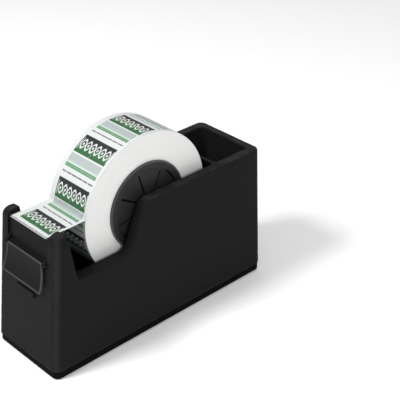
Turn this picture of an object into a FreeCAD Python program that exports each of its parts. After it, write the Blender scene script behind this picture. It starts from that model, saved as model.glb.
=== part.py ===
import FreeCAD, Part
import math
import os
import Sketcher

# A bench tape dispenser for 50 mm tape on a 76 mm core. Millimetres, +Z up, the front towards -Y.
# The origin is on the bench under the middle of the casing.
# The casing is one double-skinned moulding with a roll well and a bin. It stands on a base plate that
# carries the ballast. The hub turns on a spindle that drops into two cradles inside the casing.

DIMENSIONS = {
    # casing, outside
    "case_length": 254.5,
    "case_width": 87,
    "skirt_level": 9,
    "rim_level": 136,
    "ear_level": 137,
    "side_draft": 0.025,
    "front_slope": 0.109,
    "rear_draft": 0.02,
    "corner_radius": 7,
    "skin": 2.5,
    # side cut-out: a floor at low_level, the ears in front of it and the tall walls behind it
    "low_level": 91,
    "ear_back": 101.5,
    "low_front": 94.5,
    "low_rear": 37,
    "rim_front": 18.5,
    "ear_front_round": 9,
    "ear_back_round": 2.5,
    "low_front_round": 4,
    "low_rear_round": 10,
    "rim_front_round": 9,
    "rim_round": 2.2,
    "inner_rim_round": 1.2,
    # wells for the roll and for pens and scissors
    "well_half_width": 27.8,
    "well_draft": 0.035,
    "well_floor": 44,
    "well_front": 88,
    "well_rear": 68,
    "well_radius": 4,
    "bin_floor": 16,
    "bin_front": 78.4,
    "bin_rear": 112.5,
    # bridge between the ears, which the tape end rests on
    "bridge_half_width": 28,
    "bridge_gap": 0.3,
    "bridge_top": 132.4,
    "bridge_wall": 3,
    "apron_bottom": 111.2,
    "apron_inset": 2,
    # blade
    "blade_width": 50,
    "blade_thickness": 0.8,
    "blade_depth": 9,
    "blade_reach": 1.2,
    "tooth_pitch": 2,
    "tooth_depth": 1.4,
    "blade_screw_spacing": 36,
    "blade_screw_setback": 5.6,
    "blade_screw_shank": 3,
    "blade_screw_head": 5.4,
    "blade_screw_flare": 1.2,
    "blade_screw_socket": 1.1,
    "blade_screw_length": 11,
    "seat_boss_radius": 3,
    # blade guard
    "guard_pin_forward": 118.3,
    "guard_pin_level": 108.6,
    "guard_pin_diameter": 1.6,
    "guard_pin_slack": 0.05,
    "guard_pin_length": 54.6,
    "barrel_radius": 1.5,
    "guard_half_top": 24.2,
    "guard_half_bottom": 26.9,
    "guard_thickness": 1.6,
    "guard_bow": 56,
    "guard_lip_level": 83.8,
    "guard_corner": 0.8,
    "lug_inner": 24.7,
    "lug_radius": 1.7,
    # raised rail under the guard's lip
    "rail_half_width": 12,
    "rail_level": 71,
    "rail_height": 4,
    "rail_proud": 2.1,
    # roll, core and hub
    "axle_back": -4,
    "axle_level": 120.5,
    "tape_width": 50,
    "roll_radius": 69,
    "core_bore_radius": 38,
    "core_wall": 3.5,
    "wind_gap": 0.1,
    "hub_fit": 0.3,
    "hub_wall": 2.4,
    "flange_radius": 42,
    "flange_thickness": 1.5,
    "flange_gap": 0.1,
    "hub_parting": 0.3,
    "boss_radius": 9,
    "hub_sides": 8,
    "web_reach": 36.8,
    "web_waist": 10.5,
    "web_edge_depth": 1.6,
    "web_thickness": 2.2,
    "web_slot_width": 1.6,
    "web_slot_start": 12,
    "web_slot_end": 33,
    "hub_phase": 15,
    "finger_slot_width": 2,
    "finger_slot_length": 17,
    "spindle_diameter": 8,
    "spindle_slack": 0.06,
    "spindle_length": 60.4,
    "spindle_chamfer": 0.6,
    "clip_thickness": 0.8,
    "clip_radius": 6.5,
    "clip_groove_radius": 3.4,
    "clip_gap": 0.12,
    "clip_bore_slack": 0.05,
    "clip_mouth": 4.8,
    # cradles
    "cradle_face": 28,
    "cradle_half_length": 12,
    "cradle_top": 127,
    # tape lead
    "lead_thickness": 0.3,
    "lead_lift": 0.2,
    "lead_gap": 0.3,
    # base
    "base_inset": 0.7,
    "base_bottom": 0.5,
    "base_floor": 4,
    "base_wall": 4.2,
    "base_chamfer": 1,
    "lip_height": 2.5,
    "lip_gap": 0.25,
    "base_screw_across": 31,
    "base_screw_front": 82,
    "base_screw_rear": 60,
    "boss_diameter": 7,
    "base_screw_shank": 3.2,
    "base_screw_head": 6.5,
    "base_screw_length": 20,
    "screw_head_height": 2.2,
    "counterbore_depth": 2.5,
    "hole_gap": 0.2,
    "head_gap": 0.5,
    "foot_radius": 8,
    "foot_across": 27,
    "foot_along": 108,
    "foot_recess": 1.3,
    "foot_edge_round": 0.4,
    # ballast
    "ballast_width": 56,
    "ballast_front": 76,
    "ballast_rear": 54,
    "ballast_height": 32,
    "ballast_screw_across": 18,
    "ballast_screw_along": 40,
    "ballast_screw_shank": 4.8,
    "ballast_screw_head": 9,
    "ballast_screw_length": 12,
    "ballast_corner": 3,
    "socket_radius": 1.7,
    "socket_depth": 1.3,
}

# Height to which cutting tools run, well above the object.
CUT_TOP = "(Size.ear_level + 12)"

document = FreeCAD.newDocument("TapeDispenser")
size = document.addObject("Spreadsheet::Sheet", "Size")
for row, (alias, number) in enumerate(DIMENSIONS.items(), start=1):
    size.set(f"A{row}", alias.replace("_", " "))
    size.set(f"B{row}", str(number))
    size.setAlias(f"B{row}", alias)
document.recompute()


def value(expression):
    """The number that an expression on the sheet gives now."""
    return float(size.evalExpression(expression))


# ---------------------------------------------------------------- places worked out from the sheet

def side_at(level):
    """Half width of the casing at a level."""
    return f"(Size.case_width / 2 - Size.side_draft * ({level} - Size.skirt_level))"


def front_at(level):
    """Y of the casing's leaning front face at a level."""
    return f"(-Size.case_length / 2 + Size.front_slope * ({level} - Size.skirt_level))"


def rear_at(level):
    """Y of the casing's rear face at a level."""
    return f"(Size.case_length / 2 - Size.rear_draft * ({level} - Size.skirt_level))"


def well_at(edge, outward, level, floor="Size.well_floor"):
    """Where a drafted well wall stands at a level: edge at its floor, opening outward going up."""
    return f"({edge} {outward} Size.well_draft * ({level} - {floor}))"


WELL_HALF = "Size.well_half_width"
FLOOR_TOP = "(Size.base_bottom + Size.base_floor)"
PILLAR_FOOT = "(Size.base_bottom + Size.base_floor / 2)"
FLANGE_INNER = "(Size.tape_width / 2 + Size.flange_gap)"
FLANGE_OUTER = f"({FLANGE_INNER} + Size.flange_thickness)"
SPINDLE_RADIUS = "(Size.spindle_diameter / 2)"
ROLL_BORE = "(Size.core_bore_radius + Size.core_wall + Size.wind_gap)"
APRON_TOP_FRONT = f"({front_at('Size.bridge_top')} + Size.apron_inset)"
BLADE_SCREW_Y = f"({APRON_TOP_FRONT} + Size.blade_screw_setback)"
SEAT_LEVEL = "(Size.bridge_top - Size.bridge_wall)"
BASE_SCREWS = [
    (f"{side}Size.base_screw_across", along)
    for side in ("-", "")
    for along in ("-Size.base_screw_front", "Size.base_screw_rear")
]
BALLAST_MIDDLE = "((Size.ballast_rear - Size.ballast_front) / 2)"
BALLAST_SCREWS = [
    (f"{side}Size.ballast_screw_across", f"({BALLAST_MIDDLE} {end} Size.ballast_screw_along)")
    for side in ("-", "")
    for end in ("-", "+")
]
BLADE_SCREWS = [(f"{side}Size.blade_screw_spacing / 2", BLADE_SCREW_Y) for side in ("-", "")]


# ---------------------------------------------------------------- drawing helpers

def new_body(label):
    body = document.addObject("PartDesign::Body", label)
    body.Label = label
    return body


def new_sketch(body, plane, offset="0"):
    """A sketch on one of the body's own origin planes, moved along the plane's normal."""
    sketch = body.newObject("Sketcher::SketchObject", f"{body.Label}_sketch")
    support = next(item for item in body.Origin.OriginFeatures if item.Role == plane)
    sketch.AttachmentSupport = [(support, "")]
    sketch.MapMode = "FlatFace"
    sketch.setExpression("AttachmentOffset.Base.z", offset)
    return sketch


def pin(sketch, geometry, point, across, up):
    """Holds a point of the sketch at two dimensions from its origin."""
    for kind, expression in (("DistanceX", across), ("DistanceY", up)):
        rule = Sketcher.Constraint(kind, -1, 1, geometry, point, value(expression))
        index = sketch.addConstraint(rule)
        sketch.setExpression(f"Constraints[{index}]", expression)


def polygon(sketch, corners):
    """A closed outline of straight lines through corners given as expressions."""
    points = [FreeCAD.Vector(value(across), value(up), 0) for across, up in corners]
    first = sketch.GeometryCount
    count = len(points)
    for index in range(count):
        sketch.addGeometry(Part.LineSegment(points[index], points[(index + 1) % count]), False)
    for index in range(count):
        after = first + (index + 1) % count
        sketch.addConstraint(Sketcher.Constraint("Coincident", first + index, 2, after, 1))
    for index, (across, up) in enumerate(corners):
        pin(sketch, first + index, 1, across, up)


def box_outline(sketch, west, east, south, north):
    polygon(sketch, [(west, south), (east, south), (east, north), (west, north)])


def circle_outline(sketch, across, up, radius):
    centre = FreeCAD.Vector(value(across), value(up), 0)
    index = sketch.GeometryCount
    round_edge = Part.Circle(centre, FreeCAD.Vector(0, 0, 1), value(radius))
    sketch.addGeometry(round_edge, False)
    held = sketch.addConstraint(Sketcher.Constraint("Radius", index, value(radius)))
    sketch.setExpression(f"Constraints[{held}]", radius)
    pin(sketch, index, 3, across, up)


def extrude(body, sketch, length, cut=False, both_sides=False, backwards=False):
    """Pads or pockets a sketch by a length given as an expression."""
    kind = "Pocket" if cut else "Pad"
    feature = body.newObject(f"PartDesign::{kind}", f"{body.Label}_{kind.lower()}")
    feature.Profile = sketch
    feature.Type = 0
    feature.setExpression("Length", length)
    feature.Midplane = both_sides
    feature.Reversed = backwards
    sketch.Visibility = False
    body.Tip = feature
    document.recompute()
    return feature


def extrude_up(body, outline, bottom, top):
    """Adds outline(sketch), drawn on the horizontal plane at bottom, up to top."""
    sketch = new_sketch(body, "XY_Plane", bottom)
    outline(sketch)
    return extrude(body, sketch, f"({top}) - ({bottom})")


def drill_up(body, outline, bottom, top):
    """Cuts outline(sketch) out of the body from bottom up to top."""
    before = body.Shape.Volume
    sketch = new_sketch(body, "XY_Plane", bottom)
    outline(sketch)
    feature = extrude(body, sketch, f"({top}) - ({bottom})", cut=True, backwards=True)
    check_cut(body, before)
    return feature


def extrude_across(body, outline, start, end):
    """Adds outline(sketch), drawn on the YZ plane, from x = start to x = end."""
    sketch = new_sketch(body, "YZ_Plane", start)
    outline(sketch)
    return extrude(body, sketch, f"({end}) - ({start})")


def cut_across(body, outline, start, end):
    """Cuts outline(sketch), drawn on the YZ plane, from x = start to x = end."""
    before = body.Shape.Volume
    sketch = new_sketch(body, "YZ_Plane", start)
    outline(sketch)
    feature = extrude(body, sketch, f"({end}) - ({start})", cut=True, backwards=True)
    check_cut(body, before)
    return feature


def check_cut(body, volume_before):
    if body.Shape.Volume >= volume_before - 1e-6:
        raise RuntimeError(f"a cut in {body.Label} removed nothing")


def trim_sides(body, low_half, low, high_half, high):
    """Cuts away what lies outside two half widths, one at a low level and one at a high level."""
    before = body.Shape.Volume
    front_view = new_sketch(body, "XZ_Plane")
    far = "(2 * Size.case_width)"
    for side in ("-", ""):
        polygon(front_view, [
            (f"{side}{low_half}", low),
            (f"{side}{far}", low),
            (f"{side}{far}", high),
            (f"{side}{high_half}", high),
        ])
    extrude(body, front_view, "2 * Size.case_length", cut=True, both_sides=True)
    check_cut(body, before)


def drafted_block(body, bottom, outline, radius):
    """A block from bottom up to CUT_TOP with leaning sides and rounded upright edges. outline(level) gives
    its half width, south end and north end at a level."""
    wide, south, north = outline(bottom)
    narrow, top_south, top_north = outline(CUT_TOP)
    side_view = new_sketch(body, "YZ_Plane")
    polygon(side_view, [(south, bottom), (north, bottom), (top_north, CUT_TOP), (top_south, CUT_TOP)])
    extrude(body, side_view, "2 * Size.case_width", both_sides=True)
    trim_sides(body, wide, bottom, narrow, CUT_TOP)
    upright = []
    for number, edge in enumerate(body.Shape.Edges, start=1):
        rise = edge.Vertexes[0].Z - edge.Vertexes[-1].Z
        if abs(rise) > 1:
            upright.append(f"Edge{number}")
    fillet(body, upright, radius)


def edges_near(shape, places, reach=0.5):
    """Names of the edges parallel to X that pass within reach of (y, z) places."""
    found = []
    for number, edge in enumerate(shape.Edges, start=1):
        start, end = edge.Vertexes[0].Point, edge.Vertexes[-1].Point
        along = end - start
        if along.Length < 1 or abs(along.x) < 0.999 * along.Length:
            continue
        for across, up in places:
            if math.hypot(start.y - across, start.z - up) < reach:
                found.append(f"Edge{number}")
    return found


def fillet(body, edges, radius):
    base = body.Tip
    feature = body.newObject("PartDesign::Fillet", f"{body.Label}_fillet")
    feature.Base = (base, edges)
    feature.setExpression("Radius", radius)
    body.Tip = feature
    document.recompute()
    return feature


def combine(kind, label, *shapes):
    """Part::Cut of two shapes or Part::MultiFuse of several."""
    joined = document.addObject(f"Part::{kind}", label)
    if kind == "Cut":
        joined.Base, joined.Tool = shapes
    else:
        joined.Shapes = list(shapes)
    joined.Label = label
    document.recompute()
    return joined


# ---------------------------------------------------------------- casing

def casing_profile(drop, inset):
    """Outline in the YZ plane of all that lies above the casing's top edge. drop lowers it and inset
    moves its steep edges into the plastic, for the hollow between the skins."""
    ear_back = f"(-Size.ear_back - {inset})"
    low_front = f"(-Size.low_front - {inset})"
    low_rear = f"(-Size.low_rear + {inset})"
    rim_front = f"(-Size.rim_front + {inset})"
    far = "Size.case_length"
    return [
        (f"-{far}", f"Size.ear_level - {drop}"),
        (ear_back, f"Size.ear_level - {drop}"),
        (low_front, f"Size.low_level - {drop}"),
        (low_rear, f"Size.low_level - {drop}"),
        (rim_front, f"Size.rim_level - {drop}"),
        (far, f"Size.rim_level - {drop}"),
        (far, CUT_TOP),
        (f"-{far}", CUT_TOP),
    ]


def casing_mass(label, bottom, drop, inset, radius):
    """The casing's outer form, inset all round, closed and solid."""
    body = new_body(label)

    def outline(level):
        side = f"({side_at(level)} - {inset})"
        return side, f"({front_at(level)} + {inset})", f"({rear_at(level)} - {inset})"

    drafted_block(body, bottom, outline, radius)
    sketch = new_sketch(body, "YZ_Plane")
    profile = casing_profile(drop, inset)
    polygon(sketch, profile)
    before = body.Shape.Volume
    extrude(body, sketch, "2 * Size.case_width", cut=True, both_sides=True)
    check_cut(body, before)
    return body, profile


def round_profile(body, profile):
    """Rounds the corners that the top edge turns through, seen from the side."""
    places = [(value(across), value(up)) for across, up in profile]
    front_top = (value(front_at("Size.ear_level")), value("Size.ear_level"))
    for place, radius in (
        (front_top, "Size.ear_front_round"),
        (places[1], "Size.ear_back_round"),
        (places[2], "Size.low_front_round"),
        (places[3], "Size.low_rear_round"),
        (places[4], "Size.rim_front_round"),
    ):
        fillet(body, edges_near(body.Shape, [place]), radius)


def rim_edges(body):
    """Names of the outer edges of the rim, all the way round."""
    top = []
    low = value("Size.skirt_level") + 1
    for number, edge in enumerate(body.Shape.Edges, start=1):
        ends = [vertex.Point for vertex in edge.Vertexes]
        if min(point.z for point in ends) < low:
            continue
        faces = [face for face in body.Shape.Faces if any(edge.isSame(other) for other in face.Edges)]
        tilts = sorted(abs(face.normalAt(*middle(face)).x) for face in faces)
        if len(faces) == 2 and tilts[0] < 0.05 and tilts[1] > 0.9:
            top.append(f"Edge{number}")
    return top


def middle(face):
    low_u, high_u, low_v, high_v = face.ParameterRange
    return (low_u + high_u) / 2, (low_v + high_v) / 2


def well(label, front, rear, floor, grow):
    """The space of a drafted well, grown all round and below by grow."""
    body = new_body(label)

    def outline(level):
        half = f"({well_at(WELL_HALF, '+', level)} + {grow})"
        south = f"({well_at(front, '-', level, floor)} - {grow})"
        north = f"({well_at(rear, '+', level, floor)} + {grow})"
        return half, south, north

    drafted_block(body, f"({floor} - {grow})", outline, f"(Size.well_radius + {grow})")
    return body


def bridge_space(label, grow):
    """The step in the casing's front that the bridge sits in, grown into the casing by grow."""
    body = new_body(label)
    recess = f"(Size.bridge_wall + Size.apron_inset + {grow})"
    bottom = f"(Size.apron_bottom - {grow})"
    seat = f"({SEAT_LEVEL} - {grow})"

    def draw(sketch):
        polygon(sketch, [
            ("-Size.case_length", bottom),
            (f"({front_at(bottom)} + {recess})", bottom),
            (f"({front_at(seat)} + {recess})", seat),
            ("-Size.low_front", seat),
            ("-Size.low_front", CUT_TOP),
            ("-Size.case_length", CUT_TOP),
        ])

    half = f"(Size.bridge_half_width + {grow})"
    extrude_across(body, draw, f"-{half}", half)
    return body


def casing_ribs():
    """What stands on the casing's skins: screw bosses, the two axle cradles and the front rail."""
    bosses = new_body("casing_bosses")

    def boss_circles(sketch):
        for across, along in BASE_SCREWS:
            circle_outline(sketch, across, along, "Size.boss_diameter / 2")

    extrude_up(bosses, boss_circles, "Size.skirt_level", "(Size.well_floor - Size.skin / 2)")
    seats = new_body("casing_seat_bosses")

    def seat_circles(sketch):
        for across, along in BLADE_SCREWS:
            circle_outline(sketch, across, along, "Size.seat_boss_radius")

    seat_bottom = f"({SEAT_LEVEL} - Size.blade_screw_length)"
    extrude_up(seats, seat_circles, seat_bottom, f"({SEAT_LEVEL} - Size.skin / 2)")
    cradles = []
    for label, sign in (("cradle_left", "-"), ("cradle_right", "")):
        cradle = new_body(label)
        outer = f"({well_at(WELL_HALF, '+', 'Size.cradle_top')} + Size.skin / 2)"

        def draw(sketch):
            south = "(-Size.cradle_half_length + Size.axle_back)"
            north = "(Size.cradle_half_length + Size.axle_back)"
            box_outline(sketch, south, north, "(Size.well_floor - Size.skin / 2)", "Size.cradle_top")

        start, end = ("Size.cradle_face", outer) if sign == "" else (f"-{outer}", "-Size.cradle_face")
        extrude_across(cradle, draw, start, end)
        cradles.append(cradle)
    rail = new_body("front_rail")
    rail_top = "(Size.rail_level + Size.rail_height)"

    def draw_rail(sketch):
        polygon(sketch, [
            (f"({front_at('Size.rail_level')} + Size.skin / 2)", "(Size.rail_level - Size.rail_proud)"),
            (f"({front_at('Size.rail_level')} - Size.rail_proud)", "Size.rail_level"),
            (f"({front_at(rail_top)} - Size.rail_proud)", rail_top),
            (f"({front_at(rail_top)} + Size.skin / 2)", rail_top),
        ])

    extrude_across(rail, draw_rail, "-Size.rail_half_width", "Size.rail_half_width")
    return [bosses, seats, rail, *cradles]


def casing_holes():
    """The open slots that the spindle drops into and the screw holes."""
    slot = new_body("spindle_slots")
    half = f"({SPINDLE_RADIUS} + Size.spindle_slack)"
    outer = "(Size.spindle_length / 2 + Size.hole_gap)"

    def draw(sketch):
        south = f"(Size.axle_back - {half})"
        north = f"(Size.axle_back + {half})"
        box_outline(sketch, south, north, "Size.axle_level", CUT_TOP)

    extrude_across(slot, draw, f"-{outer}", outer)
    extrude_across(
        slot, lambda sketch: circle_outline(sketch, "Size.axle_back", "Size.axle_level", half),
        f"-{outer}", outer,
    )
    base_holes = new_body("base_screw_holes")

    def base_circles(sketch):
        for across, along in BASE_SCREWS:
            circle_outline(sketch, across, along, "(Size.base_screw_shank / 2 + Size.hole_gap / 2)")

    depth = f"({FLOOR_TOP} + Size.base_screw_length)"
    extrude_up(base_holes, base_circles, "(Size.skirt_level - 1)", depth)
    seat_holes = new_body("blade_screw_holes")

    def seat_circles(sketch):
        for across, along in BLADE_SCREWS:
            circle_outline(sketch, across, along, "(Size.blade_screw_shank / 2 + Size.hole_gap / 2)")

    bottom = "(Size.bridge_top - Size.blade_screw_length - Size.hole_gap)"
    extrude_up(seat_holes, seat_circles, bottom, "Size.bridge_top")
    return [slot, base_holes, seat_holes]


def rounded_mouths(shell):
    """Rounds the edges where the top of the casing turns down into the wells."""
    edges = []
    low = value("Size.low_level") - 1
    for number, edge in enumerate(shell.Shape.Edges, start=1):
        if edge.BoundBox.ZMin < low or edge.BoundBox.XMin < -33 or edge.BoundBox.XMax > 33:
            continue
        normals = []
        for face in shell.Shape.ancestorsOfType(edge, Part.Face):
            spot = edge.valueAt((edge.FirstParameter + edge.LastParameter) / 2)
            normals.append(face.normalAt(*face.Surface.parameter(spot)))
        rises = sorted(normal.z for normal in normals)
        if len(rises) == 2 and 0.01 < rises[0] < 0.1 and rises[1] > 0.3:
            edges.append(number)
    radius = value("Size.inner_rim_round")
    rounded = document.addObject("Part::Fillet", "rounded_mouths")
    rounded.Base = shell
    rounded.Edges = [(number, radius, radius) for number in edges]
    document.recompute()
    return rounded


def casing():
    mass, profile = casing_mass("casing_mass", "Size.skirt_level", "0", "0", "Size.corner_radius")
    round_profile(mass, profile)
    fillet(mass, rim_edges(mass), "Size.rim_round")
    inner_radius = "(Size.corner_radius - Size.skin)"
    hollow, _ = casing_mass("casing_hollow", "(Size.skirt_level - 1)", "Size.skin", "Size.skin", inner_radius)
    spaces, skins = [], []
    for grow, group in (("0", spaces), ("Size.skin", skins)):
        tag = "space" if grow == "0" else "skin"
        group.append(well(f"roll_{tag}", "-Size.well_front", "Size.well_rear", "Size.well_floor", grow))
        group.append(well(f"bin_{tag}", "Size.bin_front", "Size.bin_rear", "Size.bin_floor", grow))
        group.append(bridge_space(f"bridge_{tag}", grow))
    gap = combine("Cut", "gap_between_skins", hollow, combine("MultiFuse", "all_skins", *skins))
    shell = combine("Cut", "outer_shell", mass, gap)
    shell = combine("Cut", "open_shell", shell, combine("MultiFuse", "all_spaces", *spaces))
    shell = rounded_mouths(shell)
    full = combine("MultiFuse", "ribbed_shell", shell, *casing_ribs())
    return combine("Cut", "casing", full, combine("MultiFuse", "all_holes", *casing_holes()))


# ---------------------------------------------------------------- base

def upright_edges(shape):
    found = []
    for number, edge in enumerate(shape.Edges, start=1):
        along = edge.Vertexes[0].Point - edge.Vertexes[-1].Point
        if along.Length > 0.1 and abs(along.z) > 0.99 * along.Length:
            found.append(f"Edge{number}")
    return found


def circles(places, radius):
    """Draws one circle of a radius at each place."""
    def draw(sketch):
        for across, along in places:
            circle_outline(sketch, across, along, radius)
    return draw


def rectangle(half, south, north):
    return lambda sketch: box_outline(sketch, f"-{half}", half, south, north)


def base_plate():
    body = new_body("base_block")
    half = "(Size.case_width / 2 - Size.base_inset)"
    end = "(Size.case_length / 2 - Size.base_inset)"
    extrude_up(body, rectangle(half, f"-{end}", end), "Size.base_bottom", "Size.skirt_level")
    fillet(body, upright_edges(body.Shape), "(Size.corner_radius - Size.base_inset)")
    bottom = value("Size.base_bottom")
    under = [
        f"Edge{number}"
        for number, edge in enumerate(body.Shape.Edges, start=1)
        if abs(edge.BoundBox.ZMax - bottom) < 1e-4
    ]
    chamfer(body, under, "Size.base_chamfer")
    lip_top = "(Size.skirt_level + Size.lip_height)"
    lip = new_body("locating_lip")
    room = "(Size.skin + Size.lip_gap)"
    lip_half = f"({side_at(lip_top)} - {room})"
    south = f"({front_at(lip_top)} + {room})"
    north = f"({rear_at(lip_top)} - {room})"
    extrude_up(lip, rectangle(lip_half, south, north), FLOOR_TOP, lip_top)
    fillet(lip, upright_edges(lip.Shape), "(Size.corner_radius - Size.skin)")
    tray = new_body("tray_space")
    inner_half = f"({half} - Size.base_wall)"
    inner_end = f"({end} - Size.base_wall)"
    extrude_up(tray, rectangle(inner_half, f"-{inner_end}", inner_end), FLOOR_TOP, f"({lip_top} + 1)")
    fillet(tray, upright_edges(tray.Shape), "(Size.corner_radius - Size.skin)")
    pillars = new_body("base_pillars")
    extrude_up(pillars, circles(BASE_SCREWS, "Size.boss_diameter / 2"), PILLAR_FOOT, "Size.skirt_level")
    walls = combine("Cut", "base_walls", combine("MultiFuse", "base_solid", body, lip), tray)
    raised = combine("MultiFuse", "base_with_pillars", walls, pillars)
    holes = new_body("base_holes")
    shafts = circles(BASE_SCREWS, "(Size.base_screw_shank / 2 + Size.hole_gap / 2)")
    extrude_up(holes, shafts, "0", "(Size.skirt_level + 1)")
    wells = circles(BASE_SCREWS, "(Size.base_screw_head / 2 + Size.head_gap / 2)")
    sunk = "(Size.base_bottom + Size.counterbore_depth)"
    extrude_up(holes, wells, "0", sunk)
    more = new_body("ballast_holes")
    shafts = circles(BALLAST_SCREWS, "(Size.ballast_screw_shank / 2 + Size.hole_gap / 2)")
    extrude_up(more, shafts, "0", "(Size.skirt_level + 1)")
    wells = circles(BALLAST_SCREWS, "(Size.ballast_screw_head / 2 + Size.head_gap / 2)")
    extrude_up(more, wells, "0", sunk)
    seats = new_body("foot_recesses")
    recess = "(Size.base_bottom + Size.foot_recess)"
    foot_seats = circles([place for _, place in FEET], "(Size.foot_radius + Size.hole_gap)")
    extrude_up(seats, foot_seats, "0", recess)
    return combine("Cut", "base_plate", raised, combine("MultiFuse", "base_cuts", holes, more, seats))


FEET = [
    (f"foot_{end}_{side}", (f"{across}Size.foot_across", f"{along}Size.foot_along"))
    for end, along in (("front", "-"), ("rear", ""))
    for side, across in (("left", "-"), ("right", ""))
]


def foot(label, place):
    body = new_body(label)
    extrude_up(body, circles([place], "Size.foot_radius"), "0", "(Size.base_bottom + Size.foot_recess)")
    fillet(body, ring_edges(body.Shape, 0), "Size.foot_edge_round")
    return body


def ring_edges(shape, level):
    """Names of the edges that lie flat at a level."""
    found = []
    for number, edge in enumerate(shape.Edges, start=1):
        box = edge.BoundBox
        if abs(box.ZMin - level) < 1e-4 and abs(box.ZMax - level) < 1e-4:
            found.append(f"Edge{number}")
    return found


def chamfer(body, edges, length):
    base = body.Tip
    feature = body.newObject("PartDesign::Chamfer", f"{body.Label}_chamfer")
    feature.Base = (base, edges)
    feature.setExpression("Size", length)
    body.Tip = feature
    document.recompute()
    return feature


def ballast_block():
    body = new_body("ballast_block")
    top = f"({FLOOR_TOP} + Size.ballast_height)"
    outline = rectangle("Size.ballast_width / 2", "-Size.ballast_front", "Size.ballast_rear")
    extrude_up(body, outline, FLOOR_TOP, top)
    fillet(body, upright_edges(body.Shape), "Size.ballast_corner")
    reach = "(Size.base_bottom + Size.counterbore_depth + Size.ballast_screw_length + Size.head_gap)"
    taps = circles(BALLAST_SCREWS, "(Size.ballast_screw_shank / 2 + Size.hole_gap / 2)")
    drill_up(body, taps, FLOOR_TOP, reach)
    return body


def screws(label, places, shank, head, length):
    """Pan-headed screws driven upwards from under the base, each with a hexagonal socket."""
    seat = "(Size.base_bottom + Size.counterbore_depth)"
    bottom = f"({seat} - Size.screw_head_height)"
    made = []
    for place in places:
        body = new_body(f"{label}_one")
        extrude_up(body, circles([place], f"{head} / 2"), bottom, seat)
        chamfer(body, ring_edges(body.Shape, value(bottom)), "Size.screw_head_height / 5")
        extrude_up(body, circles([place], f"{shank} / 2"), seat, f"({seat} + {length})")
        drill_up(body, hexagon(place, "Size.socket_radius"), bottom, f"({bottom} + Size.socket_depth)")
        made.append(body)
    return gather(label, made)


def hexagon(place, radius):
    across, along = place
    corners = [
        (f"({across} + {radius} * cos({60 * step} deg))", f"({along} + {radius} * sin({60 * step} deg))")
        for step in range(6)
    ]
    return lambda sketch: polygon(sketch, corners)


def gather(label, bodies):
    """One node made of several separate solids."""
    group = document.addObject("Part::Compound", label)
    group.Links = bodies
    group.Label = label
    document.recompute()
    return group


# ---------------------------------------------------------------- bridge, blade and guard

BLADE_FRONT = f"({APRON_TOP_FRONT} - Size.blade_reach)"
BLADE_UNDER = "(Size.bridge_top - Size.blade_thickness)"


def countersinks(label, gap):
    """The space of the blade's screws, grown by gap."""
    cones = []
    top_radius = f"(Size.blade_screw_head / 2 + {gap})"
    low_radius = f"(Size.blade_screw_shank / 2 + {gap})"
    for across, along in BLADE_SCREWS:
        cone = document.addObject("Part::Cone", f"{label}_cone")
        cone.setExpression("Radius1", low_radius)
        cone.setExpression("Radius2", top_radius)
        cone.setExpression("Height", "Size.blade_screw_flare")
        shaft = document.addObject("Part::Cylinder", f"{label}_shaft")
        shaft.setExpression("Radius", low_radius)
        shaft.setExpression("Height", "Size.blade_screw_length")
        for solid in (cone, shaft):
            solid.setExpression("Placement.Base.x", across)
            solid.setExpression("Placement.Base.y", along)
        cone.setExpression("Placement.Base.z", "Size.bridge_top - Size.blade_screw_flare")
        shaft.setExpression("Placement.Base.z", "Size.bridge_top - Size.blade_screw_length")
        cones.append(combine("MultiFuse", f"{label}_one", cone, shaft))
    return cones


def blade_screws():
    made = []
    for place, solid in zip(BLADE_SCREWS, countersinks("blade_screw", "0")):
        socket = new_body("blade_screw_socket")
        bottom = "(Size.bridge_top - Size.blade_screw_socket)"
        extrude_up(socket, hexagon(place, "Size.blade_screw_socket"), bottom, "(Size.bridge_top + 1)")
        made.append(combine("Cut", "blade_screw", solid, socket))
    return gather("blade_screws", made)


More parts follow.
